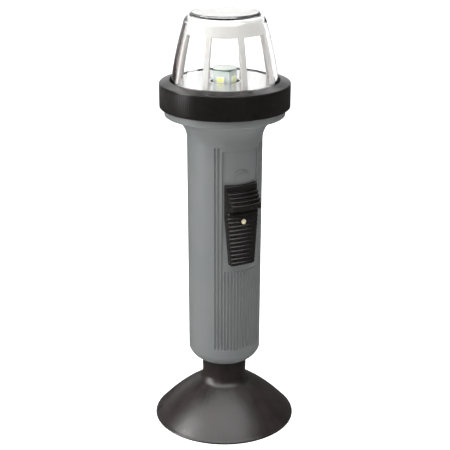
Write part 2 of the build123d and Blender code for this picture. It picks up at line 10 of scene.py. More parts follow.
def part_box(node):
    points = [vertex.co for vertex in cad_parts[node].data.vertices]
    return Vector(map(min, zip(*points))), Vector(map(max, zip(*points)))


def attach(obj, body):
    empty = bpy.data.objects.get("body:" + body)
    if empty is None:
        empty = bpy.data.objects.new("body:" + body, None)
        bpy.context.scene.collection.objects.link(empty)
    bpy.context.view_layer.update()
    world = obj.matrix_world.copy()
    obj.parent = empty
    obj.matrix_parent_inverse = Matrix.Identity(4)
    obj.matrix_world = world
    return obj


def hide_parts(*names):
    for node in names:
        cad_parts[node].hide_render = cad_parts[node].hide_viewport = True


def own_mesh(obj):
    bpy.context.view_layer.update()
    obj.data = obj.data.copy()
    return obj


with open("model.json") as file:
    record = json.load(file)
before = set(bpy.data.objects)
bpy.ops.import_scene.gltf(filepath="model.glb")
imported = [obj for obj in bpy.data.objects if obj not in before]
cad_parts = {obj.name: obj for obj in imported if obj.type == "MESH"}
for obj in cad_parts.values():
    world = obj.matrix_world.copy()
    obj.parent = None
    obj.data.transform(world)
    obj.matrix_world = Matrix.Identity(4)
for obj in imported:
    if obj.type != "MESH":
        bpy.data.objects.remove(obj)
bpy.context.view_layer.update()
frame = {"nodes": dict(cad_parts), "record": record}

# The looks of a portable navigation light. Lengths are millimetres until a mesh is made,
# +Z is up, and the switch faces -Y.

MM = 0.001


# ---------------------------------------------------------------- sizes read from the frame
def low_z(node):
    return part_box(node)[0].z / MM


def high_z(node):
    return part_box(node)[1].z / MM


def radius(node):
    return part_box(node)[1].x / MM


CUP_R = radius("suction_cup")
CUP_TOP = high_z("suction_cup")
BARREL_LOW = low_z("barrel")
BARREL_TOP = high_z("barrel")
FLANGE_R = radius("barrel")
RING_R = radius("bezel_ring")
RING_LOW = low_z("bezel_ring")
RING_TOP = high_z("bezel_ring")
LENS_LOW = low_z("lens")
LENS_TOP = high_z("lens")
LENS_FLANGE_R = radius("lens")
CAGE_LOW = low_z("lens_cage")
CAGE_TOP = high_z("lens_cage")
SLIDER_LOW = low_z("switch_slider")
SLIDER_TOP = high_z("switch_slider")
SLIDER_HALF_W = radius("switch_slider")
SLIDER_OUT = -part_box("switch_slider")[0].y / MM
RIVET_Z = (low_z("switch_rivet") + high_z("switch_rivet")) / 2
THREAD_PITCH = 3.0


# ---------------------------------------------------------------- outlines
def arc(start, middle, end, steps):
    """Points on the circular arc through three points, both ends included."""
    (ax, ay), (bx, by), (cx, cy) = start, middle, end
    d = 2 * (ax * (by - cy) + bx * (cy - ay) + cx * (ay - by))
    a2, b2, c2 = ax * ax + ay * ay, bx * bx + by * by, cx * cx + cy * cy
    ox = (a2 * (by - cy) + b2 * (cy - ay) + c2 * (ay - by)) / d
    oy = (a2 * (cx - bx) + b2 * (ax - cx) + c2 * (bx - ax)) / d
    size = math.hypot(ax - ox, ay - oy)
    first = math.atan2(ay - oy, ax - ox)
    turn_middle = (math.atan2(by - oy, bx - ox) - first) % (2 * math.pi)
    turn = (math.atan2(cy - oy, cx - ox) - first) % (2 * math.pi)
    if turn_middle > turn:
        turn -= 2 * math.pi
    points = []
    for k in range(steps + 1):
        angle = first + turn * k / steps
        points.append((ox + size * math.cos(angle), oy + size * math.sin(angle)))
    return points


def rounded(corners, steps=4):
    """A closed outline whose corners (x, y) or (x, y, fillet radius) are rounded off."""
    points = []
    count = len(corners)
    for k, corner in enumerate(corners):
        x, y = corner[0], corner[1]
        size = corner[2] if len(corner) > 2 else 0
        if not size:
            points.append((x, y))
            continue
        px, py = corners[k - 1][:2]
        nx, ny = corners[(k + 1) % count][:2]
        before = Vector((px - x, py - y))
        after = Vector((nx - x, ny - y))
        half = before.angle(after) / 2
        back = min(size / math.tan(half), 0.48 * before.length, 0.48 * after.length)
        start = Vector((x, y)) + before.normalized() * back
        end = Vector((x, y)) + after.normalized() * back
        real = back * math.tan(half)
        inward = (before.normalized() + after.normalized()).normalized()
        reach = real / math.sin(half) - real
        middle = Vector((x, y)) + inward * reach
        points.extend(arc(tuple(start), tuple(middle), tuple(end), steps))
    return points


# ---------------------------------------------------------------- meshes
def finish_mesh(name, mesh):
    """Turn a bmesh in millimetres into a smooth-shaded object in metres."""
    bmesh.ops.remove_doubles(mesh, verts=mesh.verts, dist=1e-5)
    bmesh.ops.recalc_face_normals(mesh, faces=mesh.faces)
    bmesh.ops.scale(mesh, vec=(MM, MM, MM), verts=mesh.verts)
    data = bpy.data.meshes.new(name)
    mesh.to_mesh(data)
    mesh.free()
    piece = bpy.data.objects.new(name, data)
    bpy.context.scene.collection.objects.link(piece)
    for polygon in data.polygons:
        polygon.use_smooth = True
    return piece


def weigh_normals(piece):
    """Shade large faces flat and let the narrow fillets carry the turn."""
    modifier = piece.modifiers.new("weigh_normals", "WEIGHTED_NORMAL")
    modifier.keep_sharp = True
    return piece


def even_angles(steps):
    """Angles spread evenly round a full turn."""
    return [2 * math.pi * k / steps for k in range(steps)]


def turned_bmesh(outline, angles, place=None):
    """Turn a closed (radius, height) outline. place(angle, radius, height) may move a point."""
    mesh = bmesh.new()
    rings = []
    for r, z in outline:
        if r < 1e-6:
            rings.append([mesh.verts.new((0, 0, z))] * len(angles))
            continue
        ring = []
        for angle in angles:
            pr, pz = place(angle, r, z) if place else (r, z)
            ring.append(mesh.verts.new((pr * math.cos(angle), pr * math.sin(angle), pz)))
        rings.append(ring)
    for k, here in enumerate(rings):
        there = rings[(k + 1) % len(rings)]
        for i in range(len(angles)):
            j = (i + 1) % len(angles)
            corners = []
            for vert in (here[i], here[j], there[j], there[i]):
                if vert not in corners:
                    corners.append(vert)
            if len(corners) > 2:
                mesh.faces.new(corners)
    return mesh, rings


def skin(mesh, rows):
    """Faces between neighbouring closed rows of points."""
    for a, b in zip(rows, rows[1:]):
        for i in range(len(a)):
            j = (i + 1) % len(a)
            mesh.faces.new((a[i], a[j], b[j], b[i]))


def turned(name, outline, steps):
    """A plain turned piece."""
    mesh, _ = turned_bmesh(outline, even_angles(steps))
    return weigh_normals(finish_mesh(name, mesh))


def soft_box(name, low, high, bevel):
    """A block between two corners, with rounded edges."""
    mesh = bmesh.new()
    bmesh.ops.create_cube(mesh, size=1)
    size = [b - a for a, b in zip(low, high)]
    middle = [(a + b) / 2 for a, b in zip(low, high)]
    bmesh.ops.scale(mesh, vec=size, verts=mesh.verts)
    bmesh.ops.translate(mesh, vec=middle, verts=mesh.verts)
    bmesh.ops.bevel(mesh, geom=mesh.edges[:], offset=bevel, segments=3, profile=0.5, affect="EDGES")
    return weigh_normals(finish_mesh(name, mesh))


def join(name, pieces):
    """Several objects as one."""
    context = {"active_object": pieces[0], "selected_editable_objects": pieces}
    for piece in pieces:
        for modifier in list(piece.modifiers):
            piece.modifiers.remove(modifier)
    with bpy.context.temp_override(**context):
        bpy.ops.object.join()
    pieces[0].name = name
    return weigh_normals(pieces[0])


# ---------------------------------------------------------------- materials
class Nodes:
    """A short way to write a material's nodes."""

    def __init__(self, name):
        self.material = bpy.data.materials.new(name)
        self.material.use_nodes = True
        self.tree = self.material.node_tree
        self.shader = self.tree.nodes["Principled BSDF"]
        self.place = self.tree.nodes.new("ShaderNodeTexCoord").outputs["Object"]

    def link(self, source, target):
        """Join an output to an input."""
        self.tree.links.new(source, target)

    def stretched(self, x, y, z):
        """The place on the piece, scaled along each axis."""
        node = self.tree.nodes.new("ShaderNodeMapping")
        node.inputs["Scale"].default_value = (x, y, z)
        self.link(self.place, node.inputs["Vector"])
        return node.outputs["Vector"]

    def around(self):
        """The direction out from the axis, with a little of the height, for streaks down a dome."""
        flat = self.stretched(1, 1, 0)
        unit = self.tree.nodes.new("ShaderNodeVectorMath")
        unit.operation = "NORMALIZE"
        self.link(flat, unit.inputs[0])
        both = self.tree.nodes.new("ShaderNodeVectorMath")
        both.operation = "ADD"
        self.link(unit.outputs["Vector"], both.inputs[0])
        self.link(self.stretched(6, 6, 6), both.inputs[1])
        return both.outputs["Vector"]

    def noise(self, scale, detail=3.0, rough=0.5, where=None, distortion=0.0):
        """Cloudy noise from 0 to 1, with scale in cycles to the metre."""
        node = self.tree.nodes.new("ShaderNodeTexNoise")
        node.inputs["Scale"].default_value = scale
        node.inputs["Detail"].default_value = detail
        node.inputs["Roughness"].default_value = rough
        node.inputs["Distortion"].default_value = distortion
        self.link(where or self.place, node.inputs["Vector"])
        return node.outputs["Fac"]

    def cells(self, scale):
        """The distance to the nearest of many scattered dots."""
        node = self.tree.nodes.new("ShaderNodeTexVoronoi")
        node.inputs["Scale"].default_value = scale
        self.link(self.place, node.inputs["Vector"])
        return node.outputs["Distance"]

    def ramp(self, value, stops):
        """A colour that follows the value through (position, colour) stops."""
        node = self.tree.nodes.new("ShaderNodeValToRGB")
        ramp = node.color_ramp
        while len(ramp.elements) < len(stops):
            ramp.elements.new(0.5)
        for element, (at, colour) in zip(ramp.elements, stops):
            element.position = at
            element.color = (*colour, 1)
        self.link(value, node.inputs["Fac"])
        return node.outputs["Color"]

    def scaled(self, value, low, high, start=0.0, end=1.0):
        """The value's range from start to end, spread from low to high."""
        node = self.tree.nodes.new("ShaderNodeMapRange")
        node.inputs["From Min"].default_value = start
        node.inputs["From Max"].default_value = end
        node.inputs["To Min"].default_value = low
        node.inputs["To Max"].default_value = high
        self.link(value, node.inputs["Value"])
        return node.outputs["Result"]

    def blend(self, share, first, second):
        """Two colours mixed by share. Each is an output or a plain colour."""
        node = self.tree.nodes.new("ShaderNodeMix")
        node.data_type = "RGBA"
        colours = [s for s in node.inputs if s.type == "RGBA"]
        for socket, value in zip(colours, (first, second)):
            if isinstance(value, tuple):
                socket.default_value = (*value, 1)
            else:
                self.link(value, socket)
        self.link(share, node.inputs["Factor"])
        return [s for s in node.outputs if s.type == "RGBA"][0]

    def add(self, first, second, weight):
        """The first value plus the second one times weight."""
        node = self.tree.nodes.new("ShaderNodeMath")
        node.operation = "MULTIPLY_ADD"
        node.inputs[1].default_value = weight
        self.link(second, node.inputs[0])
        self.link(first, node.inputs[2])
        return node.outputs[0]

    def bump(self, height, strength, distance):
        """Raise the surface by the height, at most by distance in metres."""
        node = self.tree.nodes.new("ShaderNodeBump")
        node.inputs["Strength"].default_value = strength
        node.inputs["Distance"].default_value = distance
        self.link(height, node.inputs["Height"])
        self.link(node.outputs["Normal"], self.shader.inputs["Normal"])

    def colour(self, source):
        self.link(source, self.shader.inputs["Base Color"])

    def rough(self, source):
        self.link(source, self.shader.inputs["Roughness"])

    def fixed(self, **values):
        """Set the shader's own sockets to constant values."""
        names = {
            "metallic": "Metallic",
            "ior": "IOR",
            "specular": "Specular IOR Level",
            "transmission": "Transmission Weight",
            "subsurface": "Subsurface Weight",
            "subsurface_scale": "Subsurface Scale",
            "rough": "Roughness",
            "glow": "Emission Strength",
        }
        for key, value in values.items():
            self.shader.inputs[names[key]].default_value = value


def rubber():
    """Black moulded rubber, rubbed brownish in streaks that run out from the neck, with dust."""
    n = Nodes("cup_rubber_look")
    around = n.around()
    streaks = n.noise(14, 5, 0.65, around, 0.3)
    cloud = n.noise(75, 5, 0.6)
    worn = n.add(cloud, streaks, 0.75)
    base = n.ramp(worn, [(0.6, (0.003, 0.0024, 0.0024)), (1.1, (0.019, 0.013, 0.012))])
    dust = n.ramp(n.cells(520), [(0.0, (1, 1, 1)), (0.05, (0, 0, 0))])
    n.colour(n.blend(dust, base, (0.12, 0.105, 0.1)))
    n.rough(n.scaled(worn, 0.08, 0.36))
    grain = n.add(n.noise(1600, 3, 0.6), cloud, 0.6)
    n.bump(grain, 0.35, 0.0002)
    n.fixed(specular=0.6)
    return n.material


def grey_plastic():
    """Satin grey moulded plastic with a fine grain and faint uneven gloss."""
    n = Nodes("grey_plastic_look")
    mottle = n.noise(28, 4, 0.55)
    base = n.ramp(mottle, [(0.3, (0.116, 0.124, 0.123)), (0.7, (0.131, 0.138, 0.136))])
    specks = n.ramp(n.cells(300), [(0.0, (1, 1, 1)), (0.03, (0, 0, 0))])
    n.colour(n.blend(specks, base, (0.19, 0.2, 0.2)))
    n.rough(n.scaled(n.noise(90, 4, 0.6), 0.32, 0.44))
    n.bump(n.noise(2600, 3, 0.55), 0.12, 0.0001)
    return n.material


def black_plastic(name, tint, rough_low, rough_high):
    """Black moulded plastic with fine grain, faint smears and rubbed highlights."""
    n = Nodes(name)
    smear = n.noise(45, 5, 0.6, n.stretched(1, 1, 0.4))
    light = tuple(c * 1.7 for c in tint)
    n.colour(n.ramp(smear, [(0.35, tint), (0.75, light)]))
    n.rough(n.scaled(n.noise(160, 4, 0.6), rough_low, rough_high))
    n.bump(n.noise(2200, 3, 0.6), 0.15, 0.0001)
    return n.material


def clear_plastic():
    """Polished clear acrylic. Its faint ripple is only in the surface."""
    n = Nodes("clear_lens_look")
    n.fixed(transmission=1.0, ior=1.49, rough=0.0)
    n.shader.inputs["Base Color"].default_value = (1, 1, 1, 1)
    n.bump(n.noise(70, 2, 0.4), 0.02, 0.0002)
    return n.material


def frosted_cap():
    """Frosted pale green acrylic."""
    n = Nodes("frosted_cap_look")
    n.fixed(transmission=0.35, ior=1.49)
    n.colour(n.ramp(n.noise(120, 3, 0.5), [(0.3, (0.72, 0.8, 0.72)), (0.7, (0.8, 0.86, 0.79))]))
    n.rough(n.scaled(n.noise(300, 3, 0.5), 0.12, 0.22))
    n.bump(n.noise(400, 2, 0.5), 0.04, 0.0001)
    return n.material


def white_plastic():
    """White moulding that lets a little light through."""
    n = Nodes("white_cage_look")
    n.fixed(subsurface=0.25, subsurface_scale=0.002, ior=1.46)
    n.colour(n.ramp(n.noise(60, 3, 0.5), [(0.3, (0.35, 0.346, 0.333)), (0.7, (0.385, 0.381, 0.368))]))
    n.rough(n.scaled(n.noise(200, 3, 0.5), 0.28, 0.4))
    n.bump(n.noise(1500, 2, 0.5), 0.06, 0.0001)
    return n.material


def silver_dish():
    """Metallised white moulding, bright with soft reflections."""
    n = Nodes("silver_dish_look")
    n.fixed(metallic=0.75)
    n.colour(n.ramp(n.noise(80, 4, 0.5), [(0.3, (0.5, 0.505, 0.5)), (0.7, (0.58, 0.58, 0.57))]))
    n.rough(n.scaled(n.noise(300, 4, 0.6), 0.16, 0.3))
    n.bump(n.noise(500, 3, 0.5), 0.05, 0.0001)
    return n.material


def metal(name, dark, light, rough_low, rough_high, stretch=(1, 1, 8), metallic=1.0):
    """Drawn or turned metal with fine lines and light tarnish."""
    n = Nodes(name)
    n.fixed(metallic=metallic)
    lines = n.noise(500, 4, 0.6, n.stretched(*stretch))
    n.colour(n.ramp(n.noise(120, 4, 0.6), [(0.3, dark), (0.7, light)]))
    n.rough(n.scaled(lines, rough_low, rough_high))
    n.bump(lines, 0.12, 0.00005)
    return n.material


def painted(name, dark, light, rough_low, rough_high):
    """A plain coloured moulding or coat with slight mottling and grain."""
    n = Nodes(name)
    n.colour(n.ramp(n.noise(90, 3, 0.5), [(0.3, dark), (0.7, light)]))
    n.rough(n.scaled(n.noise(250, 3, 0.5), rough_low, rough_high))
    n.bump(n.noise(1200, 3, 0.5), 0.1, 0.00005)
    return n.material


def cell_jacket():
    """A plain dark jacket with one copper-coloured band at the top of each cell."""
    n = Nodes("cell_jacket_look")
    dark = (0.03, 0.035, 0.045)
    copper = (0.5, 0.22, 0.08)
    bottom = low_z("lower_cell_can") * MM
    pitch = low_z("upper_cell_can") * MM - bottom
    split = n.tree.nodes.new("ShaderNodeSeparateXYZ")
    n.link(n.place, split.inputs["Vector"])
    wave = n.tree.nodes.new("ShaderNodeMath")
    wave.operation = "WRAP"
    wave.inputs[1].default_value = bottom + pitch
    wave.inputs[2].default_value = bottom
    n.link(split.outputs["Z"], wave.inputs[0])
    up_the_cell = n.scaled(wave.outputs[0], 0.0, 1.0, bottom, bottom + pitch)
    n.colour(n.ramp(up_the_cell, [(0.0, dark), (0.73, dark), (0.735, copper)]))
    n.fixed(metallic=0.4)
    n.rough(n.scaled(n.noise(200, 3, 0.5), 0.25, 0.4))
    n.bump(n.noise(900, 2, 0.5), 0.05, 0.00005)
    return n.material


LOOKS = {
    "cup_rubber": rubber(),
    "grey_plastic": grey_plastic(),
    "black_plastic": black_plastic("black_ring_look", (0.0065, 0.0054, 0.005), 0.16, 0.3),
    "slider_plastic": black_plastic("slider_look", (0.007, 0.0056, 0.0054), 0.14, 0.28),
    "clear_lens": clear_plastic(),
    "clear_cap": frosted_cap(),
    "white_cage": white_plastic(),
    "silver_dish": silver_dish(),
    "brass": metal("brass_look", (0.86, 0.74, 0.48), (0.95, 0.86, 0.62), 0.25, 0.42, metallic=0.45),
    "steel": metal("zinc_steel_look", (0.45, 0.45, 0.44), (0.62, 0.62, 0.6), 0.25, 0.45),
    "spring_steel": metal("spring_look", (0.55, 0.55, 0.53), (0.7, 0.7, 0.67), 0.18, 0.35),
    "post_metal": metal("post_look", (0.6, 0.6, 0.6), (0.75, 0.75, 0.75), 0.3, 0.45),
    "capacitor_can": metal("capacitor_look", (0.55, 0.55, 0.55), (0.7, 0.7, 0.7), 0.25, 0.4),
    "cell_cap": metal("cell_cap_look", (0.6, 0.6, 0.58), (0.75, 0.75, 0.73), 0.15, 0.3),
    "copper_wire": metal("winding_look", (0.4, 0.16, 0.07), (0.6, 0.27, 0.12), 0.2, 0.4, (1, 1, 40)),
    "seal_rubber": painted("seal_look", (0.012, 0.012, 0.012), (0.022, 0.022, 0.022), 0.45, 0.6),
    "holder_plastic": painted("holder_look", (0.02, 0.02, 0.02), (0.03, 0.03, 0.03), 0.4, 0.55),
    "circuit_board": painted("board_look", (0.01, 0.075, 0.03), (0.015, 0.1, 0.04), 0.3, 0.4),
    "ferrite": painted("ferrite_look", (0.03, 0.03, 0.03), (0.05, 0.05, 0.05), 0.5, 0.7),
    "chip_plastic": painted("chip_look", (0.015, 0.015, 0.015), (0.02, 0.02, 0.02), 0.45, 0.6),
    "led_board": painted("led_board_look", (0.42, 0.48, 0.45), (0.55, 0.6, 0.57), 0.3, 0.45),
    "led_white": painted("led_body_look", (0.75, 0.76, 0.72), (0.85, 0.86, 0.82), 0.3, 0.4),
    "led_yellow": painted("phosphor_look", (0.7, 0.72, 0.2), (0.84, 0.85, 0.34), 0.3, 0.5),
    "cell_metal": cell_jacket(),
    "cell_seal": painted("cell_seal_look", (0.02, 0.02, 0.02), (0.03, 0.03, 0.03), 0.4, 0.55),
}

SLOT_OF = {part["node"]: part["material_slot"] for part in frame["record"]["subparts"]}


def dress(piece, slot):
    """Give a new piece the look of its slot."""
    piece.data.materials.clear()
    piece.data.materials.append(LOOKS[slot])
    return piece


def dress_cad_nodes():
    """Every CAD node that stays gets its slot's look."""
    for name, node in frame["nodes"].items():
        look = LOOKS[SLOT_OF[name]]
        for material_slot in node.material_slots:
            material_slot.material = look


# ---------------------------------------------------------------- suction cup
def make_cup():
    """The cup and its neck in one moulding, hollow underneath."""
    neck_top_r = 12.0
    neck_r = 11.75
    foot_z = 25.9
    shoulder = (14.5, 20.9)
    edge = (37.3, 1.35)
    outline = [(0.0, CUP_TOP), (neck_top_r - 0.3, CUP_TOP), (neck_top_r, CUP_TOP - 0.3)]
    outline += [(neck_top_r - 0.08, 31.0), (neck_r, foot_z)]
    outline += arc((neck_r, foot_z), (12.49, 23.04), shoulder, 14)[1:]
    outline += arc(shoulder, (27.2, 11.5), edge, 36)[1:]
    outline += arc(edge, (37.9, 0.85), (CUP_R, 0.4), 5)[1:]
    outline += [(CUP_R - 0.05, 0.15), (37.7, 0.0)]
    outline += arc((36.4, 0.0), (27.0, 8.2), (11.0, 13.2), 24)
    outline += [(5.0, 13.45), (0.0, 13.5)]
    piece = turned("suction_cup_shell", outline, 192)
    dress(piece, "cup_rubber")
    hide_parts("suction_cup")
    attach(piece, "cup")
    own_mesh(piece)


# ---------------------------------------------------------------- barrel
SWITCH_ANGLE = 1.5 * math.pi
SIDE_LOW_Z = 41.2
SIDE_LOW_R = 19.2
SIDE_HIGH_R = 19.55
FLARE_Z = 158.6
FLARE_R = 12.7
BORE_R = 17.5
FLUTE_COUNT = 17
FLUTE_PITCH = math.radians(5.15)
FLUTE_R = 0.6
FLUTE_LIP = (0.54, 0.66)  # where a flute's edge rounds over, measured across it
FLUTE_LOW = 46.0
FLUTE_HIGH = 158.3
PANEL_R = 18.8
PANEL_LOW = 91.2
PANEL_HIGH = 156.3
PANEL_FLUTES = 6
PANEL_HALF = PANEL_FLUTES * FLUTE_PITCH
PANEL_CHAMFER = 0.55
SLOT_HALF_W = 1.6
SLOT_LOW = 116.2
SLOT_HIGH = 127.4
POCKET_R = 17.95
POCKET_HALF_W = 3.4
POCKET_LOW = 111.0
POCKET_HIGH = 131.5
COLLAR_R = 28.4
COLLAR_BORE_R = 26.5
SEAL_GROOVE_R = 27.2
FLARE_END_R = 27.5
FLOOR_TOP = 37.3
LEDGE_Z = 44.5
LEDGE_R = 15.0
STUD_HOLE_R = 3.2
THREAD_LOW = 176.2
THREAD_HIGH = 182.2


def from_switch(angle):
    """The angle measured from the switch, between minus and plus half a turn."""
    return (angle - SWITCH_ANGLE + math.pi) % (2 * math.pi) - math.pi


def side_radius(z):
    """The barrel's radius, with its slight taper."""
    share = min(max((z - SIDE_LOW_Z) / (FLARE_Z - SIDE_LOW_Z), 0), 1)
    return SIDE_LOW_R + share * (SIDE_HIGH_R - SIDE_LOW_R)


def ramp01(value, start, end):
    """0 before start, 1 after end, straight between."""
    return min(max((value - start) / (end - start), 0), 1)


def flute_depth(angle, z):
    """How deep the nearest flute cuts the surface at this angle and height."""
    turn = from_switch(angle)
    index = round(turn / FLUTE_PITCH)
    if abs(index) > FLUTE_COUNT // 2:
        return 0.0
    across = (turn - index * FLUTE_PITCH) * side_radius(z)
    deep = math.sqrt(max(FLUTE_R**2 - across**2, 0))
    top = FLUTE_HIGH if abs(index) > PANEL_FLUTES else PANEL_LOW + 1
    ends = ramp01(z, FLUTE_LOW, FLUTE_LOW + 0.7) * (1 - ramp01(z, top - 0.5, top))
    rounding = 0.05 * (1 - ramp01(abs(across), *FLUTE_LIP))
    return deep * ends + rounding * ends


def thread_height(angle, z, start, end, offset):
    """A right-hand trapezoid thread's height at this angle and height, from 0 to 1."""
    phase = (z - offset - THREAD_PITCH * angle / (2 * math.pi)) % THREAD_PITCH
    away = min(phase, THREAD_PITCH - phase)
    ridge = 1 - ramp01(away, 0.42, 0.72)
    return ridge * ramp01(z, start, start + 0.4) * (1 - ramp01(z, end - 0.4, end))


def place_on_barrel(angle, r, z):
    """Where a point of the turned barrel goes: flutes, panel, shuttle pocket and thread."""
    turn = from_switch(angle)
    on_side = r > BORE_R + 1 and FLUTE_LOW - 1 < z < FLUTE_HIGH + 1
    if on_side:
        in_panel = abs(turn) <= PANEL_HALF and PANEL_LOW <= z <= PANEL_HIGH
        if in_panel:
            return PANEL_R, z
        r = r - flute_depth(angle, z)
        if abs(turn) <= PANEL_HALF and PANEL_LOW - PANEL_CHAMFER < z < PANEL_LOW:
            share = (z - PANEL_LOW + PANEL_CHAMFER) / PANEL_CHAMFER
            r = min(r, side_radius(z) - 0.42 * share**1.6)
        return r, z
    in_bore = abs(r - BORE_R) < 0.01
    if in_bore and POCKET_LOW <= z <= POCKET_HIGH and abs(turn) < math.asin(POCKET_HALF_W / BORE_R):
        return POCKET_R / math.cos(turn), z
    if abs(r - COLLAR_R) < 0.01 and THREAD_LOW < z < THREAD_HIGH:
        return r + 1.15 * thread_height(angle, z, THREAD_LOW, THREAD_HIGH, THREAD_LOW), z
    return r, z


def barrel_angles():
    """Angles around the barrel, close together where the flutes and the panel's edges are."""
    angles = set()
    plain_steps = 144
    mean_r = 19.35
    across_flute = (-0.86, -0.66, -0.54, -0.5, -0.38, -0.2, 0, 0.2, 0.38, 0.5, 0.54, 0.66)
    spread = (FLUTE_COUNT / 2) * FLUTE_PITCH
    for angle in even_angles(plain_steps):
        turn = from_switch(angle)
        if abs(turn) > spread + 0.01:
            angles.add(round(angle, 6))
    for index in range(-(FLUTE_COUNT // 2), FLUTE_COUNT // 2 + 1):
        for across in across_flute:
            angles.add(round(SWITCH_ANGLE + index * FLUTE_PITCH + across / mean_r, 6))
    angles.add(round(SWITCH_ANGLE + spread, 6))
    for half in (PANEL_HALF, PANEL_HALF + 0.004, PANEL_HALF - 0.002):
        angles.add(round(SWITCH_ANGLE - half, 6))
        angles.add(round(SWITCH_ANGLE + half, 6))
    for half in (math.asin(SLOT_HALF_W / PANEL_R), math.asin(POCKET_HALF_W / BORE_R)):
        for nudge in (-0.001, 0.001):
            angles.add(round(SWITCH_ANGLE - half + nudge, 6))
            angles.add(round(SWITCH_ANGLE + half + nudge, 6))
    return sorted(angles)


def barrel_outline():
    """The barrel's closed section, with height lines where something starts or ends."""
    flare_x = SIDE_HIGH_R + FLARE_R
    bore_arc_r = FLARE_R + 2.2
    half = math.sqrt(0.5)
    flare_end = (FLARE_END_R, FLARE_Z + math.sqrt(FLARE_R**2 - (flare_x - FLARE_END_R) ** 2))
    seal_z = BARREL_TOP - 1.5
    side_heights = [SIDE_LOW_Z, FLUTE_LOW - 0.6, FLUTE_LOW, FLUTE_LOW + 0.35, FLUTE_LOW + 0.7]
    side_heights += [60, 75] + [PANEL_LOW - PANEL_CHAMFER * (1 - k / 4) for k in range(4)]
    side_heights += [PANEL_LOW - 0.02, PANEL_LOW, PANEL_LOW + 0.3, SLOT_LOW]
    side_heights += [SLOT_HIGH, PANEL_HIGH - 0.3, PANEL_HIGH, PANEL_HIGH + 0.06, PANEL_HIGH + 0.25]
    side_heights += [FLUTE_HIGH - 0.5, FLUTE_HIGH, FLARE_Z]
    points = [(STUD_HOLE_R, BARREL_LOW), (12.0, BARREL_LOW)]
    points += arc((12.2, BARREL_LOW), (16.5, BARREL_LOW + 2.2), (SIDE_LOW_R, SIDE_LOW_Z), 14)[:-1]
    points += [(side_radius(z), z) for z in side_heights]
    flare_middle = (flare_x - FLARE_R * half, FLARE_Z + FLARE_R * half)
    points += arc((SIDE_HIGH_R, FLARE_Z), flare_middle, flare_end, 24)[1:]
    points += arc(flare_end, (29.1, flare_end[1] + 0.4), (30.4, 171.0), 5)[1:]
    points += [(30.75, 171.1), (30.93, 171.28), (FLANGE_R, 171.5)]
    points += [(FLANGE_R, 174.4), (30.94, 174.7), (30.7, 174.88), (COLLAR_R + 0.4, 174.9)]
    points += [(COLLAR_R + 0.08, 174.98)]
    lines = 44
    for k in range(lines + 1):
        points.append((COLLAR_R, 175.3 + (seal_z - 175.3) * k / lines))
    points += [(SEAL_GROOVE_R, seal_z), (SEAL_GROOVE_R, BARREL_TOP - 0.2)]
    points += [(27.0, BARREL_TOP), (26.7, BARREL_TOP), (COLLAR_BORE_R, BARREL_TOP - 0.2)]
    collar_arc = (COLLAR_BORE_R, FLARE_Z + math.sqrt(bore_arc_r**2 - (flare_x - COLLAR_BORE_R) ** 2))
    bore_arc = (BORE_R, FLARE_Z + math.sqrt(bore_arc_r**2 - (flare_x - BORE_R) ** 2))
    middle = (flare_x - bore_arc_r * half, FLARE_Z + bore_arc_r * half)
    points += arc(collar_arc, middle, bore_arc, 12)
    bore_heights = [POCKET_HIGH + 0.02, POCKET_HIGH, SLOT_HIGH, SLOT_LOW, POCKET_LOW, POCKET_LOW - 0.02]
    points += [(BORE_R, z) for z in bore_heights]
    points += [(BORE_R, LEDGE_Z), (LEDGE_R, LEDGE_Z), (LEDGE_R, FLOOR_TOP), (STUD_HOLE_R, FLOOR_TOP)]
    return points


def cut_slot(mesh, rings, outline, angles):
    """Open the switch's slot through the wall and line it."""
    side = [k for k, (r, z) in enumerate(outline) if r > BORE_R + 1]
    bore = [k for k, (r, z) in enumerate(outline) if abs(r - BORE_R) < 0.01]

    def ring_at(rows, z):
        """The ring of points at this height."""
        return rings[[k for k in rows if abs(outline[k][1] - z) < 1e-6][0]]

    out_low, out_high = ring_at(side, SLOT_LOW), ring_at(side, SLOT_HIGH)
    in_low, in_high = ring_at(bore, SLOT_LOW), ring_at(bore, SLOT_HIGH)
    half = math.asin(SLOT_HALF_W / PANEL_R)
    first = bisect.bisect_left(angles, SWITCH_ANGLE - half)
    last = bisect.bisect_left(angles, SWITCH_ANGLE + half)
    doomed = []
    for i in range(first, last):
        for low, high in ((out_low, out_high), (in_low, in_high)):
            corners = {low[i], low[i + 1], high[i], high[i + 1]}
            doomed += [f for f in low[i].link_faces if set(f.verts) == corners]
    bmesh.ops.delete(mesh, geom=doomed, context="FACES_ONLY")
    for i in range(first, last):
        mesh.faces.new((out_low[i], out_low[i + 1], in_low[i + 1], in_low[i]))
        mesh.faces.new((out_high[i], out_high[i + 1], in_high[i + 1], in_high[i]))
    for i in (first, last):
        mesh.faces.new((out_low[i], out_high[i], in_high[i], in_low[i]))


def make_barrel():
    """The grey casing with its flutes, switch panel, slot and threaded collar."""
    outline = barrel_outline()
    angles = barrel_angles()
    mesh, rings = turned_bmesh(outline, angles, place_on_barrel)
    cut_slot(mesh, rings, outline, angles)
    barrel = finish_mesh("barrel_shell", mesh)
    barrel = join("barrel_shell", [barrel, make_crescent()])
    dress(barrel, "grey_plastic")
    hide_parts("barrel")
    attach(barrel, "light")


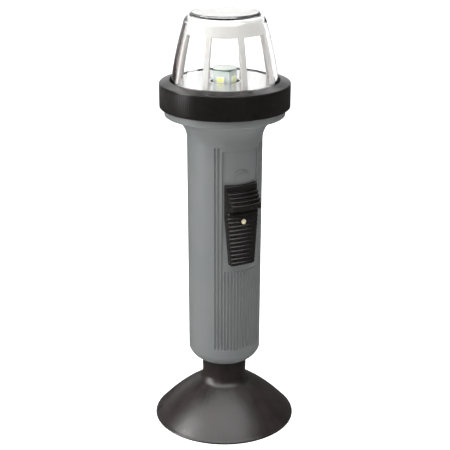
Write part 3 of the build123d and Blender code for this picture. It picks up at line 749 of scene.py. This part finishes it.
def make_crescent():
    """The small raised crescent above the slide."""
    middle_z = 140.1
    crescent_r = 5.55
    span = math.radians(42)
    steps = 24
    section = ((-1, -0.3), (-0.85, 0.4), (-0.3, 0.7), (0.3, 0.7), (0.85, 0.4), (1, -0.3))
    mesh = bmesh.new()
    rows = []
    for k in range(steps + 1):
        turn = span * (2 * k / steps - 1)
        thick = 0.5 * math.cos(turn / span * math.pi / 2) + 0.05
        row = []
        for across, rise in section:
            reach = crescent_r + across * thick
            x = reach * math.sin(turn)
            z = middle_z + reach * math.cos(turn)
            out = PANEL_R + rise
            angle = x / PANEL_R
            row.append(mesh.verts.new((out * math.sin(angle), -out * math.cos(angle), z)))
        rows.append(row)
    skin(mesh, rows)
    mesh.faces.new(rows[0])
    mesh.faces.new(rows[-1])
    return finish_mesh("switch_crescent", mesh)


# ---------------------------------------------------------------- screw ring
RING_RIBS = 180


def make_ring():
    """The screw ring: a fine ribbed band, a bead, a conical top and a screw thread inside."""
    rib_top = RING_TOP - 2.9
    side_r = RING_R - 0.03
    mouth_r = 28.1
    wall_r = 29.95
    lip_z = 187.1
    band_low = RING_LOW + 0.3
    corners = [
        (30.45, RING_LOW),
        (33.1, RING_LOW, 0.12),
        (RING_R - 0.02, band_low, 0.1),
        (RING_R, rib_top - 0.05),
        (RING_R - 0.4, rib_top, 0.04),
        (RING_R - 0.4, rib_top + 0.2, 0.05),
        (side_r, rib_top + 0.45, 0.12),
        (side_r, rib_top + 1.35, 0.35),
        (mouth_r + 0.3, RING_TOP, 0.2),
        (mouth_r, RING_TOP - 0.3, 0.2),
        (mouth_r, lip_z),
        (wall_r, lip_z),
    ]
    outline = rounded(corners, 3)
    lines = 60
    for k in range(lines + 1):
        outline.append((wall_r, lip_z - 0.5 - (lip_z - 0.5 - RING_LOW - 0.5) * k / lines))
    thread_low, thread_high = 177.0, 182.9
    rib = 2 * math.pi / RING_RIBS
    notch_half = 0.55 / RING_R
    notch_h = 2.2

    def place(angle, r, z):
        """Ribs outside, the thread inside and a small notch in the lower edge."""
        if r > RING_R - 0.06 and band_low < z < rib_top:
            part = (angle / rib) % 1.0
            deep = 0.5 * (ramp01(part, 0.62, 0.78) - ramp01(part, 0.84, 1.0))
            r = r - deep
        if abs(r - wall_r) < 0.01:
            r = wall_r - 1.15 * thread_height(angle, z, thread_low, thread_high, THREAD_LOW + 1.5)
        turn = from_switch(angle)
        if abs(turn) < notch_half and r > 32 and z < RING_LOW + notch_h:
            r = r - 0.8
        return r, z

    angles = []
    for k in range(RING_RIBS):
        for part in (0.0, 0.04, 0.35, 0.62, 0.7, 0.78, 0.84, 0.92):
            angles.append((k + part) * rib)
    outline = split_heights(outline, [RING_LOW + notch_h - 0.05, RING_LOW + notch_h + 0.05], RING_R - 1)
    mesh, _ = turned_bmesh(outline, angles, place)
    ring = weigh_normals(finish_mesh("screw_ring", mesh))
    dress(ring, "black_plastic")
    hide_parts("bezel_ring")
    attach(ring, "ring")


def split_heights(outline, heights, beyond):
    """Add points at these heights to the outline's outer side."""
    result = []
    for k, (r, z) in enumerate(outline):
        result.append((r, z))
        nr, nz = outline[(k + 1) % len(outline)]
        if min(r, nr) > beyond:
            for h in heights:
                if min(z, nz) < h < max(z, nz):
                    share = (h - z) / (nz - z)
                    result.append((r + share * (nr - r), h))
    return result


# ---------------------------------------------------------------- lens and cage
LENS_BASE_R = 27.35
LENS_BASE_Z = 188.5
LENS_SHOULDER_R = 21.0
LENS_SHOULDER_Z = 218.0
LENS_WALL = 1.6


def lens_side(inset, steps=20):
    """The lens's long convex side, moved inwards by inset."""
    middle_r = (LENS_BASE_R + LENS_SHOULDER_R) / 2 + 0.6
    middle_z = (LENS_BASE_Z + LENS_SHOULDER_Z) / 2
    return arc(
        (LENS_BASE_R - inset, LENS_BASE_Z),
        (middle_r - inset, middle_z),
        (LENS_SHOULDER_R - inset, LENS_SHOULDER_Z),
        steps,
    )


def make_lens():
    """The clear dome: a flange under the ring, a convex side and a raised disc on top."""
    inner_base = LENS_BASE_R - LENS_WALL
    inner_shoulder = LENS_SHOULDER_R - LENS_WALL
    roof = LENS_TOP - 2.2
    flange_top = LENS_LOW + 1.8
    flange = rounded(
        [
            (inner_base, LENS_LOW, 0.15),
            (LENS_FLANGE_R, LENS_LOW, 0.2),
            (LENS_FLANGE_R, flange_top, 0.2),
            (LENS_BASE_R + 0.02, flange_top, 0.5),
            (LENS_BASE_R, LENS_BASE_Z),
        ],
        4,
    )[:-1]
    outline = flange + lens_side(0)
    outline += arc((LENS_SHOULDER_R, LENS_SHOULDER_Z), (19.9, 220.5), (17.9, 222.25), 10)[1:]
    outline += arc((17.9, 222.25), (17.6, 222.4), (17.42, 222.65), 4)[1:]
    outline += arc((17.35, LENS_TOP - 0.5), (17.2, LENS_TOP - 0.15), (16.85, LENS_TOP), 4)
    outline += [(12.0, LENS_TOP), (0.0, LENS_TOP), (0.0, roof), (12.0, roof)]
    inner_edge = (inner_shoulder, LENS_SHOULDER_Z)
    outline += arc((inner_shoulder - 2.4, roof), (inner_shoulder - 0.7, 220.0), inner_edge, 8)
    outline += lens_side(LENS_WALL)[::-1][1:]
    lens = turned("lens_dome", outline, 192)
    dress(lens, "clear_lens")
    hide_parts("lens")
    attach(lens, "head")
    lens.visible_shadow = False


CAGE_RIBS = 8
CAGE_RIB_W = 2.9
CAGE_TURN = math.radians(-4.7)
CAGE_BAND_Z = 213.3
CAGE_DISC_R = 16.2


def make_cage():
    """White cap and eight ribs, made as a double-walled grid with windows left out."""
    outer_inset = LENS_WALL + 0.3
    wall = 1.3
    profile_out = [(0.0, CAGE_TOP), (8.0, CAGE_TOP), (14.0, CAGE_TOP)]
    edge_r = LENS_SHOULDER_R - outer_inset
    profile_out += arc((CAGE_DISC_R, CAGE_TOP), (18.2, 219.85), (edge_r, LENS_SHOULDER_Z), 8)
    profile_in = [(0.0, CAGE_TOP - wall), (8.0, CAGE_TOP - wall), (13.6, CAGE_TOP - wall)]
    profile_in += arc((15.0, CAGE_TOP - wall), (16.65, 218.9), (edge_r - wall, LENS_SHOULDER_Z - 0.2), 8)
    side_out = lens_side(outer_inset, 60)[::-1]
    rib_heights = [CAGE_BAND_Z, 207.0, 200.0, 194.0, CAGE_LOW]
    for z in [LENS_SHOULDER_Z - 1.2, 215.0] + rib_heights:
        gaps = [abs(side_z - z) for _, side_z in side_out]
        side_r = side_out[gaps.index(min(gaps))][0]
        profile_out.append((side_r, z))
        profile_in.append((side_r - wall, z))
    rib_half = CAGE_RIB_W / 2
    angles = []
    for k in range(CAGE_RIBS):
        centre = SWITCH_ANGLE + CAGE_TURN + k * 2 * math.pi / CAGE_RIBS
        for part in (-rib_half, 0, rib_half):
            angles.append(("rib", centre, part))
        for part in range(1, 8):
            angles.append(("gap", centre + part * math.pi / 4 / 8, 0))
    ribs_start = len(profile_out) - len(rib_heights)

    def ring_of(mesh, r, z):
        """A ring of points at the columns' angles. A rib keeps its width all the way down."""
        if r < 1e-6:
            return [mesh.verts.new((0, 0, z))] * len(angles)
        verts = []
        for kind, centre, part in angles:
            angle = centre + (math.asin(part / max(r, CAGE_DISC_R)) if kind == "rib" else 0)
            verts.append(mesh.verts.new((r * math.cos(angle), r * math.sin(angle), z)))
        return verts

    mesh = bmesh.new()
    outer = [ring_of(mesh, r, z) for r, z in profile_out]
    inner = [ring_of(mesh, r, z) for r, z in profile_in]

    def solid(row, column):
        """Whether there is material between this row and column and the next ones."""
        if row < 0 or row >= len(outer) - 1:
            return False
        if row >= ribs_start:
            return angles[column][0] == "rib" and angles[(column + 1) % len(angles)][0] == "rib"
        return True

    def face(*verts):
        """A face that leaves out repeated points."""
        corners = []
        for vert in verts:
            if vert not in corners:
                corners.append(vert)
        if len(corners) > 2:
            mesh.faces.new(corners)

    for row in range(len(outer) - 1):
        for column in range(len(angles)):
            if not solid(row, column):
                continue
            nxt = (column + 1) % len(angles)
            for wall_rings in (outer, inner):
                a, b = wall_rings[row], wall_rings[row + 1]
                face(a[column], a[nxt], b[nxt], b[column])
            if not solid(row, column - 1):
                face(outer[row][column], outer[row + 1][column], inner[row + 1][column], inner[row][column])
            if not solid(row, nxt):
                face(outer[row][nxt], outer[row + 1][nxt], inner[row + 1][nxt], inner[row][nxt])
            if row > 0 and not solid(row - 1, column):
                face(outer[row][column], outer[row][nxt], inner[row][nxt], inner[row][column])
            if not solid(row + 1, column):
                face(outer[row + 1][column], outer[row + 1][nxt], inner[row + 1][nxt], inner[row + 1][column])
    cage = finish_mesh("lens_cage_moulding", mesh)
    bevel = cage.modifiers.new("soften", "BEVEL")
    bevel.width = 0.25 * MM
    bevel.segments = 3
    bevel.limit_method = "ANGLE"
    bevel.angle_limit = math.radians(40)
    weigh_normals(cage)
    dress(cage, "white_cage")
    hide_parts("lens_cage")
    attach(cage, "head")


# ---------------------------------------------------------------- dish
def make_dish():
    """The bright dish under the lamp, nearly flat inside a raised rim."""
    rim_r = radius("reflector_dish")
    low = low_z("reflector_dish")
    hole_r = 7.4
    top = 188.45
    outline = [(rim_r, low), (rim_r, 187.9)]
    outline += arc((rim_r, 188.1), (25.1, 188.65), (24.5, 188.45), 6)
    outline += arc((24.5, 188.45), (17.0, 188.2), (9.0, top), 24)[1:]
    outline += [(hole_r + 0.25, top), (hole_r, top - 0.25), (hole_r, 187.4), (23.8, 187.4)]
    outline += [(23.8, low)]
    dish = turned("reflector_bowl", outline, 160)
    dress(dish, "silver_dish")
    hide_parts("reflector_dish")
    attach(dish, "head")


# ---------------------------------------------------------------- slide switch
def slider_outline():
    """The slide's middle section as (height, distance out): ridged tail, thumb wedge, steps."""
    ridges = 13
    tail_out = 22.1
    tail_high = 124.4
    steps = 4
    steps_low = 129.4
    rise = 1.75
    inward = 1.35
    pitch = (tail_high - SLIDER_LOW) / ridges
    points = [(SLIDER_LOW, 19.2), (SLIDER_LOW, tail_out - 0.75)]
    for index in range(ridges):
        z = SLIDER_LOW + index * pitch
        low = (z + 0.06 * pitch, tail_out - 0.6)
        high = (z + 0.94 * pitch, tail_out - 0.62)
        points += arc(low, (z + 0.56 * pitch, tail_out), high, 8)
    points += [(tail_high + 0.05, tail_out - 0.62), (tail_high + 0.35, tail_out - 0.5)]
    wedge = [(tail_high, 20.0), (126.6, SLIDER_OUT - 0.45, 0.3), (127.2, SLIDER_OUT, 0.4)]
    nose = rounded(wedge + [(steps_low, 24.0)])
    points += [p for p in nose if 126 < p[0] < 128.5]
    for index in range(steps):
        z = steps_low + index * rise
        out = SLIDER_OUT - 0.1 - index * inward
        back = out - inward
        points += arc((z - 0.55, out - 0.03), (z + 0.1, out - 0.02), (z + 0.35, out - 0.6), 5)
        points += arc((z + 0.5, back - 0.2), (z + 0.75, back - 0.32), (z + 1.05, back - 0.1), 4)
    top = [(136, 19.5), (136.6, 20.75, 0.2), (SLIDER_TOP - 0.4, 20.3, 0.3), (SLIDER_TOP, 19.4)]
    return points + rounded(top)[1:]


def make_slider():
    """The slide, swept upwards: a crowned face, leaning sides and a back that fits the barrel."""
    wide, narrow = SLIDER_HALF_W, 7.0
    straight_z = 121.0  # the sides run parallel above this height
    lean = math.tan(math.radians(6.0))
    crown_r = 38.0
    base_r = PANEL_R + 0.3
    corner = 0.075
    shape_steps = 14
    mesh = bmesh.new()
    rows = []
    last_z = 0.0
    for z, out in slider_outline():
        z = max(z, last_z + 1e-3)
        last_z = z
        share = min((z - SLIDER_LOW) / (straight_z - SLIDER_LOW), 1)
        outline_half = narrow + (wide - narrow) * share
        base_half = outline_half - lean
        base_out = math.sqrt(base_r**2 - base_half**2)
        top_half = outline_half - lean * (out - 17.0)
        edge_out = out - top_half**2 / (2 * crown_r)
        front = []
        for k in range(shape_steps + 1):
            t = top_half * (2 * k / shape_steps - 1)
            front.append((t, out - t * t / (2 * crown_r)))
        front[0] = (-top_half + corner, edge_out - corner)
        front[-1] = (top_half - corner, edge_out - corner)
        side = []
        for down in (0.1, 0.5, 1.0):
            half = top_half + (base_half - top_half) * down
            side.append((half, edge_out + (base_out - edge_out) * down))
        row = front + side
        for k in range(1, shape_steps):
            t = base_half * (1 - 2 * k / shape_steps)
            row.append((t, math.sqrt(base_r**2 - t * t)))
        row += [(-half, o) for half, o in side[::-1]]
        rows.append([mesh.verts.new((t, -o, z)) for t, o in row])
    skin(mesh, rows)
    mesh.faces.new(rows[0])
    mesh.faces.new(rows[-1])
    slider = finish_mesh("switch_slide", mesh)
    recess = plug("rivet_recess", 1.9, 21.1, 30.0)
    cut(slider, recess)
    weigh_normals(slider)
    dress(slider, "slider_plastic")
    tongue = soft_box("switch_tongue", (-1.3, -19.9, 116.6), (1.3, -17.7, 122.0), 0.2)
    dress(tongue, "slider_plastic")
    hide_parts("switch_slider")
    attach(slider, "slide")
    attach(tongue, "slide")


def plug(name, size, inner, outer):
    """A cylinder along Y at the rivet, for cutting."""
    mesh = bmesh.new()
    bmesh.ops.create_cone(mesh, cap_ends=True, segments=40, radius1=size, radius2=size, depth=outer - inner)
    bmesh.ops.rotate(mesh, verts=mesh.verts, cent=(0, 0, 0), matrix=Matrix.Rotation(math.pi / 2, 3, "X"))
    bmesh.ops.translate(mesh, vec=(0, -(outer + inner) / 2, RIVET_Z), verts=mesh.verts)
    return finish_mesh(name, mesh)


def cut(piece, tool):
    """Cut the tool out of the piece and remove the tool."""
    modifier = piece.modifiers.new("cut", "BOOLEAN")
    modifier.operation = "DIFFERENCE"
    modifier.object = tool
    modifier.solver = "EXACT"
    with bpy.context.temp_override(object=piece, active_object=piece):
        bpy.ops.object.modifier_apply(modifier="cut")
    bpy.data.objects.remove(tool)


# ---------------------------------------------------------------- stage, lights and camera
CAMERA_TURN = math.radians(27.3)  # from the switch's direction round to the camera's
WORLD_LOW = 0.08
WORLD_HIGH = 0.16


def make_stage():
    """A pale floor, three metres to each side, that curves up into a backdrop."""
    half = 3000.0
    back = 900.0
    bend = 500.0
    rows = [(-half, 0.0), (back, 0.0)]
    for k in range(1, 13):
        angle = math.pi / 2 * k / 12
        rows.append((back + bend * math.sin(angle), bend * (1 - math.cos(angle))))
    rows.append((back + bend, 2500.0))
    mesh = bmesh.new()
    pairs = [[mesh.verts.new((x, y, z)) for x in (-half, half)] for y, z in rows]
    for a, b in zip(pairs, pairs[1:]):
        mesh.faces.new((a[0], a[1], b[1], b[0]))
    floor = finish_mesh("floor", mesh)
    floor.rotation_euler = (0, 0, -CAMERA_TURN)
    n = Nodes("floor_look")
    n.colour(n.ramp(n.noise(3, 2, 0.5), [(0.3, (0.86, 0.86, 0.86)), (0.7, (0.88, 0.88, 0.88))]))
    n.shader.inputs["Emission Color"].default_value = (1, 1, 1, 1)
    n.fixed(rough=0.9, specular=0.1, glow=0.7)
    floor.data.materials.append(n.material)
    floor.visible_glossy = False


def seen_by(card, kind, look, colour, glow):
    """Make a card show only in reflections ("glossy") or only through clear parts ("clear")."""
    n = Nodes(look)
    darker = tuple(0.8 * c for c in colour)
    n.colour(n.ramp(n.noise(3, 2, 0.5), [(0.3, darker), (0.7, colour)]))
    n.shader.inputs["Emission Color"].default_value = (1, 1, 1, 1)
    n.fixed(rough=0.9, specular=0.1, glow=glow)
    card.data.materials.append(n.material)
    card.visible_camera = False
    card.visible_diffuse = False
    card.visible_shadow = False
    card.visible_glossy = kind == "glossy"
    card.visible_transmission = kind == "clear"


def upright_card(name, left, right, low, high):
    """An upright card between two places given as (right, away) in metres."""
    corners = [(*left, low), (*right, low), (*right, high), (*left, high)]
    mesh = bmesh.new()
    mesh.faces.new([mesh.verts.new(Vector(seen(*corner)) / MM) for corner in corners])
    return finish_mesh(name, mesh)


def make_cards():
    """A dark card and a pale dome that show through the lens, and a pale card that shows in gloss."""
    dark = upright_card("dark_card", (-0.95, 0.75), (-0.2, 0.95), -0.2, 0.42)
    seen_by(dark, "clear", "dark_card_look", (0.03, 0.016, 0.014), 0.0)
    pale = upright_card("pale_card", (-1.4, 1.2), (0.4, 1.3), 0.05, 0.8)
    seen_by(pale, "glossy", "pale_card_look", (0.5, 0.5, 0.5), 0.22)
    dome_r = 2000.0
    sides = 48
    mesh = bmesh.new()
    rings = []
    for k in range(16):
        tilt = k * math.pi / 32
        r, z = dome_r * math.cos(tilt), dome_r * math.sin(tilt)
        rings.append([mesh.verts.new((r * math.cos(a), r * math.sin(a), z)) for a in even_angles(sides)])
    skin(mesh, rings)
    mesh.faces.new(rings[-1])
    dome = finish_mesh("pale_dome", mesh)
    seen_by(dome, "clear", "pale_dome_look", (0.12, 0.12, 0.12), 1.0)
    dome.visible_camera = True


def area_light(name, place, target, size, watts):
    """A soft rectangular light at a place, turned to its target."""
    data = bpy.data.lights.new(name, "AREA")
    data.shape = "RECTANGLE"
    data.size, data.size_y = size
    data.energy = watts
    lamp = bpy.data.objects.new(name, data)
    lamp.location = place
    aim = Vector(target) - Vector(place)
    lamp.rotation_euler = aim.to_track_quat("-Z", "Y").to_euler()
    bpy.context.scene.collection.objects.link(lamp)
    return lamp


def seen(right, away, up):
    """A point given as metres to the camera's right, away from it, and up, from the light's axis."""
    c, s = math.cos(CAMERA_TURN), math.sin(CAMERA_TURN)
    return (right * c + away * s, -right * s + away * c, up)


def make_lights():
    """A dim surround that is lighter above, a tall soft light on the left and a wide one overhead."""
    world = bpy.data.worlds.new("studio")
    bpy.context.scene.world = world
    world.use_nodes = True
    tree = world.node_tree
    back = tree.nodes["Background"]
    direction = tree.nodes.new("ShaderNodeTexCoord")
    split = tree.nodes.new("ShaderNodeSeparateXYZ")
    tree.links.new(direction.outputs["Generated"], split.inputs["Vector"])
    grey = tree.nodes.new("ShaderNodeMapRange")
    grey.inputs["From Min"].default_value = -0.4
    grey.inputs["From Max"].default_value = 0.9
    grey.inputs["To Min"].default_value = WORLD_LOW
    grey.inputs["To Max"].default_value = WORLD_HIGH
    tree.links.new(split.outputs["Z"], grey.inputs["Value"])
    tree.links.new(grey.outputs["Result"], back.inputs["Strength"])
    back.inputs["Color"].default_value = (1.0, 1.0, 1.0, 1)
    area_light("left", seen(-1.0, -0.25, 0.45), (0, 0, 0.2), (0.5, 1.0), 11)
    overhead = area_light("overhead", seen(-0.29, -0.55, 0.9), (0, 0, 0), (1.94, 0.9), 17)
    overhead.rotation_euler = (0, 0, -CAMERA_TURN)
    area_light("behind", seen(0.1, 0.75, 0.95), (0, 0, 0.15), (1.2, 0.6), 4)


def make_camera():
    """A long lens a little higher than the light, looking down at it."""
    distance = 0.5676
    height = 0.31628
    pitch = 0.3478
    roll = 0.0024
    data = bpy.data.cameras.new("camera")
    data.sensor_width = 36.0
    data.lens = 91.1632
    data.shift_x = 0.000978
    data.clip_start = 0.01
    camera = bpy.data.objects.new("camera", data)
    camera.location = seen(0, -distance, height)
    aim = Euler((math.pi / 2 - pitch, 0, -CAMERA_TURN)).to_matrix() @ Matrix.Rotation(roll, 3, "Z")
    camera.rotation_euler = aim.to_euler()
    bpy.context.scene.collection.objects.link(camera)
    bpy.context.scene.camera = camera


bpy.context.scene.view_settings.view_transform = "Standard"
dress_cad_nodes()
make_cup()
make_barrel()
make_ring()
make_lens()
make_cage()
make_dish()
make_slider()
make_stage()
make_cards()
make_lights()
make_camera()
